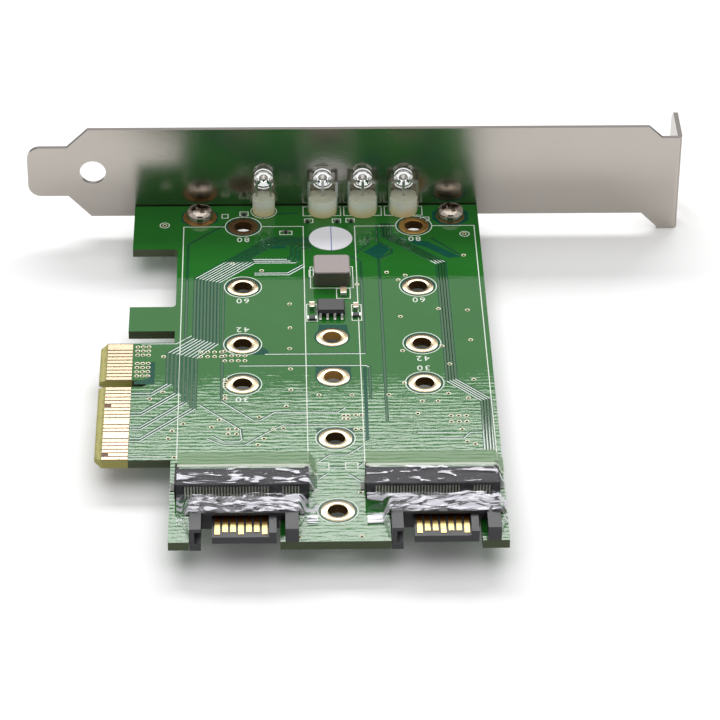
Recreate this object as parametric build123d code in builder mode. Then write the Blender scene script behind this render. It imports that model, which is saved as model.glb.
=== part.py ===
from build123d import *

import os

# Millimetres. The origin is the middle of the key slot at the outer end of the contact tongue, on the
# component side of the board. +X runs along the bracket to its bent tab, +Y towards the bracket, and +Z
# out of the component side.

# Circuit board
board_thickness = 1.6
board_far = 56.75
board_near = -44.4
board_right = 67.7
body_left = 12.7
stub_left = 4.6
far_stub_near = 42.2
near_stub_far = 23.45
near_stub_near = 15.85
tongue_far = 12.1
tongue_near = -22.05
tongue_corner = 1.2
tongue_bevel = 1.2
tongue_bevel_depth = 0.4
key_width = 1.9
key_depth = 8.2
notch_radius = 0.8

# Edge contacts
contact_pitch = 1.0
pin_beside_key = 1.5
far_pins = 11
near_pins = 21
contact_width = 0.7
contact_start = 1.25
short_contact_start = 2.35
contact_end = 5.55
short_pins = (17, 31)
joined_pins = (1, 21, 25)
plating = 0.05

# Drive screw holes: three columns, and the distances from a drive's contact edge to its screw
column_middle = 40.15
column_pitch = 15.6
drive_lengths = (80, 60, 42, 30)
front_datum = -30.38
back_datum = 43.67
hole_radius = 1.7
hole_pad_radius = 2.75
pad_sides = 16

# Drive sockets, about a datum where the drive's contact edge stops
socket_width = 21.9
socket_end_wall = 1.45
socket_height = 3.2
socket_rear = 2.85
socket_roof = 1.6
socket_floor_length = 3.6
socket_arm_length = 3.9
socket_arm_height = 2.6
socket_arm_width = 0.6
mouth_low = 0.95
mouth_high = 2.4
mouth_depth = 1.4
mouth_chamfer = 0.35
comb_depth = 0.5
comb_height = 2.75
pin_pitch = 0.5
pin_width = 0.22
pin_thickness = 0.15
pin_clearance = 0.25
front_key_x = 5.5
back_key_x = -6.125
key_pins = 4
key_rib = 1.0
socket_tab_length = 2.0
socket_tab_height = 1.4
socket_tab_foot = 0.8

# Data ports
left_port_x = 24.95
right_port_x = 57.53
port_overhang = 0.1
port_width = 17.6
port_depth = 9.0
port_height = 2.5
port_drop = 1.6
port_arm_length = 5.7
port_hood = 1.1
port_hood_thickness = 0.5
port_left_arm = 1.85
port_right_arm = 2.15
port_shelf = 1.35
port_groove = (1.05, 3.0, 2.2)
port_groove_floor = -0.2
port_clearance = 0.1
port_cut_margin = 0.6
blade_left = -5.18
blade_width = 10.4
blade_key_width = 1.2
blade_bottom = -0.22
blade_thickness = 1.27
blade_key_rise = 0.9
blade_chamfer = 0.25
port_pin_pitch = 1.27
port_pin_count = 7
port_pin_middle = -0.5
port_pin_width = 0.86
port_pin_thickness = 0.1
port_pin_gap = 0.7
port_pin_short = 0.6
port_pin_foot = 0.9
port_tab_length = 1.6
port_tab_thickness = 0.2
port_tab_foot = 1.0

# Slot bracket
sheet = 0.86
bracket_gap = 0.3
bracket_left = -14.9
bracket_length = 120.02
bracket_low = -2.2
bracket_width = 18.42
finger_low = 2.2
finger_width = 10.2
finger_length = 7.3
finger_radius = 2.4
shoulder_end = 11.25
shoulder_end_low = 11.4
hole_x = -2.97
hole_z = 7.2
bracket_hole_radius = 2.4
tab_low = -5.6
tab_high = 13.9
tab_slant_high = (6.22, 3.72)
tab_slant_low = (6.82, 3.82)
tab_slant_end = -5.2
tab_depth = 11.43
tab_corner = 2.2
bend_radius = 1.0
tab_notch_width = 4.42
tab_notch_depth = 5.07
tab_notch_y = 6.35
ear_width = 8.0
ear_length = 8.2
ear_corner = 1.5

# Bracket screws and their pads
screw_x = (16.6, 62.6)
screw_y = 52.85
screw_radius = 1.25
screw_length = 4.6
screw_head_radius = 2.4
screw_head_height = 1.65
screw_crown = 0.7
recess_width = 0.75
recess_length = 2.6
recess_depth = 0.9
screw_pad_radius = (3.15, 2.65)
screw_hole_radius = 1.5

# Indicator lamps: middle, spacer radius and number of leads of each
lamp_x = (28.3, 39.15, 46.5, 54.0)
lamp_spacer_radius = (2.05, 2.6, 2.6, 2.55)
lamp_lead_count = (2, 3, 3, 3)
lamp_line = 54.85
lamp_spacer_height = 3.3
lamp_spacer_gap = 0.15
lamp_back = 55.45
lamp_axis = 6.15
lamp_length = 5.3
lamp_radius = 1.5
lamp_flange_radius = 1.82
lamp_flange = 0.95
lamp_nose = 0.75
lamp_hole_clearance = 0.2
lead_width = 0.48
lead_row = 2.54
lead_hole_pitch = 2.54
lead_root = 0.2
lead_tail = 0.9

# Power parts
inductor_middle = (40.4, 32.6)
inductor_size = (6.45, 6.0, 2.95)
inductor_corner = 0.45
inductor_top_edge = 0.15
terminal_thickness = 0.12
terminal_width = 2.6
terminal_height = 1.2
terminal_foot = 1.0
chip_middle = (40.1, 21.85)
chip_size = (4.9, 3.9, 1.3)
chip_standoff = 0.15
chip_draft = 0.22
chip_lead_pitch = 1.27
chip_lead_count = 4
chip_lead_span = 6.0
chip_lead_width = 0.42
chip_lead_thickness = 0.18
chip_lead_height = 0.85
chip_lead_shoulder = 0.4
chip_lead_slope = 0.2

# Small chip parts, as middle X and Y, turned or not, and length. Capacitors first, then resistors.
capacitors = ((42.4, 27.45, True, 2.0), (36.75, 22.9, True, 1.6), (44.5, 22.6, True, 1.6))
resistors = ((36.75, 19.3, False, 1.6), (44.5, 20.2, False, 1.6), (24.7, 53.3, False, 1.0),
             (36.3, 50.9, False, 1.0), (41.7, 50.9, False, 1.0), (44.3, 51.0, False, 1.0),
             (32.3, 47.4, False, 1.0))
chip_end = 0.22
chip_width_share = 0.55
capacitor_height = 0.8
resistor_height = 0.45

# Check sticker and clear films
sticker_middle = (40.45, 45.4)
sticker_radius = 3.95
sticker_thickness = 0.1
film_thickness = 0.06
film_ahead = 6.6
film_side = 0.2
film_front_drop = 0.6

# Edges and corners are picked where their middles lie within this of a known place
near_by = 0.01

# Places that follow from the sizes above
pin_count = int((socket_width - 2 * socket_end_wall) / pin_pitch)
pin_row = pin_count * pin_pitch + 2 * pin_clearance
column_left = column_middle - column_pitch
column_right = column_middle + column_pitch
port_front = board_near - port_overhang
bracket_inner = board_far + bracket_gap
bracket_outer = bracket_inner + sheet
bracket_right = bracket_left + bracket_length
bracket_high = bracket_low + bracket_width
board_bottom = -board_thickness
side_holes = [(x, front_datum + length) for x in (column_left, column_right) for length in drive_lengths]
middle_holes = [(column_middle, back_datum - length) for length in drive_lengths]
drive_holes = side_holes + middle_holes
screw_places = [(x, screw_y) for x in screw_x]
port_cut_depth = port_depth - port_hood + port_clearance
blade_right = blade_left + blade_width
port_cut_right = blade_right + port_cut_margin
lead_places = [(x + (i - (count - 1) / 2) * lead_hole_pitch, lamp_line)
               for x, count in zip(lamp_x, lamp_lead_count) for i in range(count)]

os.makedirs("parts", exist_ok=True)


# Circuit board: stepped on the left, with the key slot in the contact tongue and a cut-out for each data port
with BuildPart() as circuit_board:
    with BuildSketch(Plane.XY.offset(board_bottom)) as outline:
        with BuildLine():
            Polyline((0, tongue_near), (body_left, tongue_near), (body_left, board_near),
                     (board_right, board_near), (board_right, board_far), (stub_left, board_far),
                     (stub_left, far_stub_near), (body_left, far_stub_near), (body_left, near_stub_far),
                     (stub_left, near_stub_far), (stub_left, near_stub_near), (body_left, near_stub_near),
                     (body_left, tongue_far), (0, tongue_far), close=True)
        make_face()
        inner = outline.vertices().filter_by(
            lambda v: abs(v.X - body_left) < near_by and v.Y in (far_stub_near, near_stub_far))
        fillet(inner, notch_radius)
        chamfer(outline.vertices().group_by(Axis.X)[0], tongue_corner)
        with BuildSketch(mode=Mode.PRIVATE) as key:
            with Locations((key_depth / 2 - key_width / 4, 0)):
                Rectangle(key_depth - key_width / 2, key_width)
            with Locations((key_depth - key_width / 2, 0)):
                Circle(key_width / 2)
        add(key.sketch, mode=Mode.SUBTRACT)
        for port_x in (left_port_x, right_port_x):
            cut_left = port_x - port_width / 2 - port_clearance
            cut_right = port_x + port_cut_right
            with Locations(((cut_left + cut_right) / 2, port_front + port_cut_depth / 2)):
                Rectangle(cut_right - cut_left, port_cut_depth, mode=Mode.SUBTRACT)
        with Locations(*drive_holes):
            Circle(hole_radius, mode=Mode.SUBTRACT)
        with Locations(*screw_places):
            Circle(screw_hole_radius, mode=Mode.SUBTRACT)
        with Locations(*lead_places):
            Rectangle(lead_width, lead_width, mode=Mode.SUBTRACT)
    extrude(amount=board_thickness)
    with BuildSketch(Plane.XZ.offset(-tongue_far)):
        for side, inward in ((0, -1), (board_bottom, 1)):
            with BuildLine():
                Polyline((0, side), (tongue_bevel, side), (0, side + inward * tongue_bevel_depth), close=True)
            make_face()
    extrude(amount=tongue_far - tongue_near, mode=Mode.SUBTRACT)
circuit_board.part.label = "circuit_board"
export_step(circuit_board.part, "parts/circuit_board.step")


def contact_places():
    """Yields number and Y of each place along the contact tongue, from the far end."""
    for pin in range(1, far_pins + near_pins + 1):
        if pin <= far_pins:
            yield pin, pin_beside_key + (far_pins - pin) * contact_pitch
        else:
            yield pin, -pin_beside_key - (pin - far_pins - 1) * contact_pitch


def edge_contacts(bottom, short, joined):
    """Gold pads of one side of the contact tongue, from Z bottom up by the plating."""
    with BuildPart() as pads:
        with BuildSketch(Plane.XY.offset(bottom)):
            for pin, y in contact_places():
                start = short_contact_start if pin in short else contact_start
                with Locations(((start + contact_end) / 2, y)):
                    Rectangle(contact_end - start, contact_width)
                if pin in joined:
                    with Locations(((contact_start + contact_end) / 2, y - contact_pitch / 2)):
                        Rectangle(contact_end - contact_start, contact_pitch)
        extrude(amount=plating)
    return pads.part


edge_contacts_top = edge_contacts(0, short_pins, joined_pins)
edge_contacts_top.label = "edge_contacts_top"
export_step(edge_contacts_top, "parts/edge_contacts_top.step")

edge_contacts_bottom = edge_contacts(board_bottom - plating, short_pins[:1], ())
edge_contacts_bottom.label = "edge_contacts_bottom"
export_step(edge_contacts_bottom, "parts/edge_contacts_bottom.step")

# Gold pads round the drive screw holes, thin rings with flat sides
with BuildPart() as hole_plating:
    with BuildSketch():
        with Locations(*drive_holes):
            RegularPolygon(hole_pad_radius, pad_sides)
            RegularPolygon(hole_radius, pad_sides, major_radius=False, mode=Mode.SUBTRACT)
    extrude(amount=plating)
hole_plating.part.label = "hole_plating"
export_step(hole_plating.part, "parts/hole_plating.step")

# Gold rings that the bracket screws are tightened down on
with BuildPart() as screw_pads:
    for place, radius in zip(screw_places, screw_pad_radius):
        with BuildSketch():
            with Locations(place):
                RegularPolygon(radius, pad_sides)
                RegularPolygon(screw_hole_radius, pad_sides, major_radius=False, mode=Mode.SUBTRACT)
        extrude(amount=plating)
screw_pads.part.label = "screw_pads"
export_step(screw_pads.part, "parts/screw_pads.step")


def socket_housing(key_x):
    """Moulded body of a drive socket: drive edge stops at Y 0, board at Z 0, mouth towards +Y."""
    with BuildPart() as body:
        with BuildSketch(Plane.YZ):
            with BuildLine():
                Polyline((-socket_rear, 0), (-socket_rear, socket_height), (socket_roof, socket_height),
                         (socket_roof, mouth_high + mouth_chamfer), (socket_roof - mouth_chamfer, mouth_high),
                         (-mouth_depth, mouth_high), (-mouth_depth, mouth_low),
                         (socket_floor_length, mouth_low), (socket_floor_length, 0), close=True)
            make_face()
        extrude(amount=socket_width / 2, both=True)
        with BuildSketch(Plane.YZ.offset(socket_width / 2 - socket_arm_width)):
            with BuildLine():
                Polyline((-socket_rear, 0), (-socket_rear, socket_height), (socket_roof, socket_height),
                         (socket_roof, socket_arm_height), (socket_arm_length, socket_arm_height),
                         (socket_arm_length, 0), close=True)
            make_face()
        arm = extrude(amount=socket_arm_width, mode=Mode.PRIVATE)
        add(arm)
        add(arm.mirror(Plane.YZ))
        with Locations((0, comb_depth - socket_rear, 0)):
            Box(pin_row, comb_depth, comb_height, align=(Align.CENTER, Align.MAX, Align.MIN),
                mode=Mode.SUBTRACT)
        with Locations((key_x, -mouth_depth, mouth_low)):
            Box(key_rib, mouth_depth + socket_roof - mouth_chamfer, mouth_high - mouth_low,
                align=(Align.CENTER, Align.MIN, Align.MIN))
    return body.part


def pin_places(count, key_x):
    """X of each contact in a row, without the places that the key takes."""
    places = [(i - (count - 1) / 2) * pin_pitch for i in range(count)]
    return [x for x in places if abs(x - key_x) > key_pins * pin_pitch / 2]


def socket_contacts(key_x):
    """Both rows: the upper ones come down the rear wall to the board, the lower ones lie on the lip."""
    with BuildPart() as pins:
        with Locations(*[(x, comb_depth - socket_rear, 0) for x in pin_places(pin_count, key_x)]):
            Box(pin_width, pin_thickness, comb_height - pin_clearance,
                align=(Align.CENTER, Align.MAX, Align.MIN))
        with Locations(*[(x, -mouth_depth, mouth_low) for x in pin_places(pin_count - 1, key_x)]):
            Box(pin_width, mouth_depth + socket_floor_length, pin_thickness,
                align=(Align.CENTER, Align.MIN, Align.MIN))
    return pins.part


def socket_tabs():
    """Solder tabs at the two ends of a drive socket."""
    with BuildPart() as tabs:
        with BuildSketch(Plane.XZ.offset(-socket_roof)):
            with BuildLine():
                end = socket_width / 2
                Polyline((end, 0), (end, socket_tab_height), (end + pin_thickness, socket_tab_height),
                         (end + pin_thickness, pin_thickness), (end + socket_tab_foot, pin_thickness),
                         (end + socket_tab_foot, 0), close=True)
            make_face()
        tab = extrude(amount=socket_tab_length)
        add(tab.mirror(Plane.YZ))
    return tabs.part


# Left and right drive sockets on the component side, and the back one under the board, facing the other way
socket_seats = {
    "ssd_socket_left": (Location((column_left, front_datum, 0)), front_key_x),
    "ssd_socket_right": (Location((column_right, front_datum, 0)), front_key_x),
    "ssd_socket_back": (Location((column_middle, back_datum, board_bottom), (180, 0, 0)), back_key_x),
}
for name, (seat, key_x) in socket_seats.items():
    for piece, shape in (("housing", socket_housing(key_x)), ("contacts", socket_contacts(key_x)),
                         ("tabs", socket_tabs())):
        placed = shape.moved(seat)
        placed.label = f"{name}_{piece}"
        export_step(placed, f"parts/{placed.label}.step")


def port_contacts():
    """Seven gold strips along the tongue's top, out at the rear and down to the board. The outer two and
    the middle one reach further forward."""
    with BuildPart() as strips:
        for i in range(port_pin_count):
            start = port_pin_gap if i % 3 == 0 else port_pin_gap + port_pin_short
            top = blade_bottom + blade_thickness
            with BuildSketch(Plane.YZ) as profile:
                with BuildLine():
                    Polyline((start, top), (start, top + port_pin_thickness),
                             (port_depth + port_pin_thickness, top + port_pin_thickness),
                             (port_depth + port_pin_thickness, port_pin_thickness),
                             (port_depth + port_pin_foot, port_pin_thickness),
                             (port_depth + port_pin_foot, 0), (port_depth, 0), (port_depth, top), close=True)
                make_face()
            x = port_pin_middle + (i - (port_pin_count - 1) / 2) * port_pin_pitch
            with Locations((x, 0, 0)):
                add(extrude(profile.sketch, amount=port_pin_width / 2, both=True, mode=Mode.PRIVATE))
    return strips.part


def port_housing():
    """Moulded body of a data port: mouth at Y 0 towards -Y, board at Z 0. The rear block stands on the
    board, the left arm and the tongue hang in the board's cut-out, and the right arm stands on the board."""
    left = -port_width / 2
    right = port_width / 2
    low = (Align.MIN, Align.MIN, Align.MIN)
    with BuildPart() as body:
        with Locations((left, port_arm_length, 0)):
            Box(port_width, port_depth - port_arm_length, port_height, align=low)
        with Locations((left, port_arm_length - port_hood, port_height - port_hood_thickness)):
            Box(port_width, port_hood, port_hood_thickness, align=low)
        with Locations((left, port_arm_length, -port_drop)):
            Box(port_cut_right - left - port_clearance, port_shelf, port_drop, align=low)
        with Locations((left, 0, -port_drop)):
            Box(port_left_arm, port_arm_length, port_height + port_drop, align=low)
        with Locations((right - port_right_arm, 0, 0)):
            Box(port_right_arm, port_arm_length, port_height, align=low)
        mouth_edges = body.edges().filter_by(lambda e: abs(e.center().Y) < near_by).filter_by(Axis.X)
        chamfer(mouth_edges.group_by(Axis.Z)[-1], blade_chamfer)
        groove_width, groove_length, groove_height = port_groove
        with Locations((left + port_left_arm, 0, port_groove_floor)):
            Box(groove_width, groove_length, groove_height, align=(Align.MAX, Align.MIN, Align.MIN),
                mode=Mode.SUBTRACT)
        with BuildSketch(Plane.XZ.offset(-port_arm_length)):
            with BuildLine():
                key_start = blade_right - blade_key_width
                blade_top = blade_bottom + blade_thickness
                Polyline((blade_left, blade_bottom), (blade_right, blade_bottom),
                         (blade_right, blade_top + blade_key_rise), (key_start, blade_top + blade_key_rise),
                         (key_start, blade_top), (blade_left, blade_top), close=True)
            make_face()
        extrude(amount=port_arm_length)
        add(port_contacts(), mode=Mode.SUBTRACT)
    return body.part


def port_tabs():
    """Solder tabs on the two sides of a data port's rear block."""
    with BuildPart() as tabs:
        side = port_width / 2
        with BuildSketch(Plane.XZ.offset(-port_depth + port_tab_thickness)):
            with BuildLine():
                Polyline((side, 0), (side, port_height / 2), (side + port_tab_thickness, port_height / 2),
                         (side + port_tab_thickness, port_tab_thickness),
                         (side + port_tab_foot, port_tab_thickness), (side + port_tab_foot, 0), close=True)
            make_face()
        tab = extrude(amount=port_tab_length)
        add(tab.mirror(Plane.YZ))
    return tabs.part


for name, port_x in (("data_port_left", left_port_x), ("data_port_right", right_port_x)):
    for piece, shape in (("housing", port_housing()), ("contacts", port_contacts()), ("tabs", port_tabs())):
        placed = shape.moved(Location((port_x, port_front, 0)))
        placed.label = f"{name}_{piece}"
        export_step(placed, f"parts/{placed.label}.step")

# Slot bracket: a flat plate with a finger at one end and a tab bent outwards at the other
with BuildPart() as slot_bracket:
    with BuildSketch(Plane.XZ.offset(-bracket_outer)) as plate:
        with BuildLine():
            finger_high = finger_low + finger_width
            Polyline((bracket_left, finger_low), (bracket_left + finger_length, finger_low),
                     (bracket_left + shoulder_end_low, bracket_low),
                     (bracket_right - tab_slant_low[0], bracket_low),
                     (bracket_right - tab_slant_low[1], tab_slant_end),
                     (bracket_right - tab_slant_low[1], tab_low), (bracket_right, tab_low),
                     (bracket_right, tab_high),
                     (bracket_right - tab_slant_high[1], tab_high),
                     (bracket_right - tab_slant_high[0], bracket_high),
                     (bracket_left + shoulder_end, bracket_high),
                     (bracket_left + finger_length, finger_high), (bracket_left, finger_high), close=True)
        make_face()
        fillet(plate.vertices().group_by(Axis.X)[0], finger_radius)
        with Locations((hole_x, hole_z)):
            Circle(bracket_hole_radius, mode=Mode.SUBTRACT)
        with Locations(*[(x, lamp_axis) for x in lamp_x]):
            Circle(lamp_radius + lamp_hole_clearance, mode=Mode.SUBTRACT)
    extrude(amount=sheet)
    with BuildSketch(Plane.YZ.offset(bracket_right - sheet)) as tab:
        tab_end = bracket_inner + tab_depth
        with Locations(((bracket_inner + tab_end) / 2, (tab_low + tab_high) / 2)):
            Rectangle(tab_depth, tab_high - tab_low)
        chamfer(tab.vertices().group_by(Axis.X)[-1], tab_corner)
        with Locations((bracket_inner + tab_notch_y, tab_low + tab_notch_depth - tab_notch_width / 2)):
            Circle(tab_notch_width / 2, mode=Mode.SUBTRACT)
        with Locations((bracket_inner + tab_notch_y, tab_low)):
            Rectangle(tab_notch_width, 2 * tab_notch_depth - tab_notch_width, mode=Mode.SUBTRACT)
    extrude(amount=sheet)
    bend = slot_bracket.edges().filter_by(Axis.Z).filter_by(
        lambda e: abs(e.center().X - bracket_right) < near_by and abs(e.center().Y - bracket_inner) < near_by)
    fillet(bend, bend_radius)
    ear_bottom = board_bottom - sheet
    for x, y in screw_places:
        with BuildSketch(Plane.XY.offset(ear_bottom)) as ear:
            with Locations((x, bracket_outer - ear_length / 2)):
                Rectangle(ear_width, ear_length)
            chamfer(ear.vertices().group_by(Axis.Y)[0], ear_corner)
            with Locations((x, y)):
                Circle(screw_radius, mode=Mode.SUBTRACT)
        extrude(amount=sheet)
slot_bracket.part.label = "slot_bracket"
export_step(slot_bracket.part, "parts/slot_bracket.step")


def screw():
    """Pan head screw: board at Z 0, axis on the origin."""
    with BuildPart() as body:
        with BuildSketch(Plane.XZ):
            with BuildLine():
                top = plating + screw_head_height
                Polyline((0, top), (0, -screw_length), (screw_radius, -screw_length), (screw_radius, plating),
                         (screw_head_radius, plating), (screw_head_radius, top - screw_crown),
                         (screw_head_radius - screw_crown, top), close=True)
            make_face()
        revolve(axis=Axis.Z)
        with Locations((0, 0, top)):
            for turn in (0, 90):
                Box(recess_length, recess_width, 2 * recess_depth, rotation=(0, 0, turn), mode=Mode.SUBTRACT)
    return body.part


with BuildPart() as bracket_screws:
    with Locations(*[(x, y, 0) for x, y in screw_places]):
        add(screw())
bracket_screws.part.label = "bracket_screws"
export_step(bracket_screws.part, "parts/bracket_screws.step")

# Indicator lamps: a clear round body lying level with its nose through the bracket, over a milky spacer post.
# Its leads come out at the back, spread and turn down through the post and the board.
for number, (x, radius, count) in enumerate(zip(lamp_x, lamp_spacer_radius, lamp_lead_count), start=1):
    with BuildPart() as lens:
        with BuildSketch(Plane(origin=(x, lamp_back, lamp_axis), x_dir=(1, 0, 0), z_dir=(0, 0, 1))):
            with BuildLine():
                Polyline((0, lamp_length), (0, 0), (lamp_flange_radius, 0), (lamp_flange_radius, lamp_flange),
                         (lamp_radius, lamp_flange), (lamp_radius, lamp_length - lamp_nose),
                         (lamp_radius - lamp_nose, lamp_length), close=True)
            make_face()
        revolve(axis=Axis((x, lamp_back, lamp_axis), (0, 1, 0)))
    lens.part.label = f"lamp_{number}_lens"
    export_step(lens.part, f"parts/lamp_{number}_lens.step")

    with BuildPart() as leads:
        for i in range(count):
            step = i - (count - 1) / 2
            root_x = x + step * lead_row / (count - 1)
            down_x = x + step * lead_hole_pitch
            with BuildSketch(Plane.XY.offset(lamp_axis - lead_width / 2)):
                with Locations((root_x, lamp_back - lead_root / 2)):
                    Rectangle(lead_width, lead_root)
                with Locations((down_x, lamp_line)):
                    Rectangle(lead_width, lead_width)
                make_hull()
            extrude(amount=lead_width)
            with BuildSketch(Plane.XY.offset(board_bottom - lead_tail)):
                with Locations((down_x, lamp_line)):
                    Rectangle(lead_width, lead_width)
            extrude(amount=lamp_axis - board_bottom + lead_tail)
    leads.part.label = f"lamp_{number}_leads"
    export_step(leads.part, f"parts/lamp_{number}_leads.step")

    with BuildPart() as spacer:
        with BuildSketch():
            with Locations((x, lamp_line)):
                Circle(radius)
            with Locations((x, bracket_inner - lamp_spacer_gap + radius)):
                Rectangle(2 * radius, 2 * radius, mode=Mode.SUBTRACT)
        extrude(amount=lamp_spacer_height)
        add(leads.part, mode=Mode.SUBTRACT)
    spacer.part.label = f"lamp_{number}_spacer"
    export_step(spacer.part, f"parts/lamp_{number}_spacer.step")

# Power inductor: a square block with eased corners and a terminal on each side
with BuildPart() as inductor_body:
    with BuildSketch(Plane.XY.offset(terminal_thickness)) as block:
        with Locations(inductor_middle):
            Rectangle(inductor_size[0], inductor_size[1])
        chamfer(block.vertices(), inductor_corner)
    extrude(amount=inductor_size[2] - terminal_thickness)
    chamfer(inductor_body.faces().sort_by(Axis.Z)[-1].edges(), inductor_top_edge)
inductor_body.part.label = "inductor_body"
export_step(inductor_body.part, "parts/inductor_body.step")

with BuildPart() as inductor_terminals:
    with BuildSketch(Plane.XZ.offset(-inductor_middle[1])) as strip:
        with BuildLine():
            side = inductor_size[0] / 2
            Polyline((side - terminal_foot, 0), (side + terminal_thickness, 0),
                     (side + terminal_thickness, terminal_height), (side, terminal_height),
                     (side, terminal_thickness), (side - terminal_foot, terminal_thickness), close=True)
        make_face()
    terminal = extrude(amount=terminal_width / 2, both=True, mode=Mode.PRIVATE)
    with Locations((inductor_middle[0], 0, 0)):
        add(terminal)
        add(terminal.mirror(Plane.YZ))
inductor_terminals.part.label = "inductor_terminals"
export_step(inductor_terminals.part, "parts/inductor_terminals.step")

# Regulator chip: a drafted body and two rows of bent leads
with BuildPart() as regulator_chip:
    middle_height = chip_standoff + chip_size[2] / 2
    for height, direction in ((chip_standoff + chip_size[2], 1), (chip_standoff, -1)):
        with BuildSketch(Plane.XY.offset(middle_height)):
            with Locations(chip_middle):
                Rectangle(chip_size[0], chip_size[1])
        with BuildSketch(Plane.XY.offset(height)):
            with Locations(chip_middle):
                Rectangle(chip_size[0] - 2 * chip_draft, chip_size[1] - 2 * chip_draft)
        loft()
regulator_chip.part.label = "regulator_chip"
export_step(regulator_chip.part, "parts/regulator_chip.step")

with BuildPart() as regulator_leads:
    with BuildSketch(Plane.YZ) as bent:
        with BuildLine():
            root = chip_size[1] / 2
            toe = chip_lead_span / 2
            knee = root + chip_lead_shoulder
            Polyline((root, chip_lead_height), (knee, chip_lead_height),
                     (knee + chip_lead_slope, chip_lead_thickness),
                     (toe, chip_lead_thickness), (toe, 0), (knee, 0),
                     (knee - chip_lead_thickness, chip_lead_height - chip_lead_thickness),
                     (root, chip_lead_height - chip_lead_thickness), close=True)
        make_face()
    lead = extrude(amount=chip_lead_width / 2, both=True, mode=Mode.PRIVATE)
    with Locations((chip_middle[0], chip_middle[1], 0)):
        with GridLocations(chip_lead_pitch, 1, chip_lead_count, 1):
            add(lead)
            add(lead.mirror(Plane.XZ))
regulator_leads.part.label = "regulator_leads"
export_step(regulator_leads.part, "parts/regulator_leads.step")


def chip_parts(places, height, body_label, ends_label):
    """Small blocks with a tinned cap on each end, lying along X, or along Y where turned."""
    with BuildPart() as blocks:
        for x, y, turned, length in places:
            with Locations(Location((x, y, 0), (0, 0, 90 if turned else 0))):
                Box(length - 2 * chip_end, length * chip_width_share, height,
                    align=(Align.CENTER, Align.CENTER, Align.MIN))
    blocks.part.label = body_label
    export_step(blocks.part, f"parts/{body_label}.step")
    with BuildPart() as caps:
        for x, y, turned, length in places:
            with Locations(Location((x, y, 0), (0, 0, 90 if turned else 0))):
                with Locations((length / 2, 0, 0), (-length / 2 + chip_end, 0, 0)):
                    Box(chip_end, length * chip_width_share, height,
                        align=(Align.MAX, Align.CENTER, Align.MIN))
    caps.part.label = ends_label
    export_step(caps.part, f"parts/{ends_label}.step")


chip_parts(capacitors, capacitor_height, "capacitor_bodies", "capacitor_ends")
chip_parts(resistors, resistor_height, "resistor_bodies", "resistor_ends")

# Round paper check sticker
with BuildPart() as check_sticker:
    with BuildSketch():
        with Locations(sticker_middle):
            Circle(sticker_radius)
    extrude(amount=sticker_thickness)
check_sticker.part.label = "check_sticker"
export_step(check_sticker.part, "parts/check_sticker.step")


def clear_film(label, socket_x):
    """One clear sheet: level over the drive socket, sloping behind it, and down onto the data port."""
    lie = film_thickness / 2
    over_socket = socket_height + lie
    over_port = port_height + lie
    start = front_datum + film_ahead
    socket_back = front_datum - socket_rear
    port_back = port_front + port_depth
    port_edge = port_front + port_arm_length - port_hood
    with BuildPart() as film:
        with BuildSketch(Plane.YZ.offset(socket_x)):
            with BuildLine():
                Polyline((start, over_socket - film_front_drop), (front_datum + socket_roof, over_socket),
                         (socket_back, over_socket), (port_back, over_port), (port_edge, over_port))
                offset(amount=lie, side=Side.BOTH)
            make_face()
        extrude(amount=socket_width / 2 - film_side, both=True)
    film.part.label = label
    export_step(film.part, f"parts/{label}.step")


clear_film("clear_film_left", column_left)
clear_film("clear_film_right", column_right)
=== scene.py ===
import math

import bpy
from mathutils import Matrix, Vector, noise


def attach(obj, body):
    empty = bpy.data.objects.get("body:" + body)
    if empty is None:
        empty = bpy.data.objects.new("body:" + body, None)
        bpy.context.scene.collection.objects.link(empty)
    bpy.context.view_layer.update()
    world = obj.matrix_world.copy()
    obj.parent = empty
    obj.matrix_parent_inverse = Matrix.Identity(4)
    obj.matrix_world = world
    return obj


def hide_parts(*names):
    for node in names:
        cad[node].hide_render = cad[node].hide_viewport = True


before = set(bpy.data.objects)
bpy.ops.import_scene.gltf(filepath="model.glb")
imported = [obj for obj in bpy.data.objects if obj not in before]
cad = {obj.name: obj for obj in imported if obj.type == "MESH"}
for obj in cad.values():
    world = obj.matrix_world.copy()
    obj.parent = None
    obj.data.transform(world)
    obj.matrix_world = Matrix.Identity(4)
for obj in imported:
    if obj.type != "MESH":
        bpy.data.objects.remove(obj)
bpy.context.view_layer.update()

# Circuit board: glass-epoxy laminate routed to its stepped outline, under a semi-gloss green solder mask.
# The mask is smooth and mirrors the soft light in a sharp glare, rippled by the glass cloth under it. The
# routed sides are dull dark olive with fine plies.
MM = 0.001


def linear(code):
    """An sRGB hex colour as linear red, green and blue, with full alpha."""
    parts = [int(code[i:i + 2], 16) / 255 for i in (1, 3, 5)]
    return tuple(p / 12.92 if p <= 0.04045 else ((p + 0.055) / 1.055) ** 2.4 for p in parts) + (1.0,)


def add(tree, kind, inputs=None, **settings):
    """Adds one node, sets it up, and fills or links its inputs."""
    made = tree.nodes.new(kind)
    for name, value in settings.items():
        setattr(made, name, value)
    for socket, value in (inputs or {}).items():
        if isinstance(value, bpy.types.NodeSocket):
            tree.links.new(value, made.inputs[socket])
        else:
            made.inputs[socket].default_value = value
    return made


def new_finish(name, values):
    """A new material with the shader values that are the same all over."""
    material = bpy.data.materials.new(name)
    material.use_nodes = True
    shader = material.node_tree.nodes["Principled BSDF"]
    for socket, value in values.items():
        shader.inputs[socket].default_value = value
    return material, material.node_tree, shader


def dress(material, *names):
    """Gives CAD nodes a material."""
    for name in names:
        for place in cad[name].material_slots:
            place.material = material


# The rows and knuckles of the cloth are drawn about twice as coarse as a real weave, so that they show.
weave_pitch = 0.95
knuckle_size = 0.62
ply_pitch = 0.4
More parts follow.
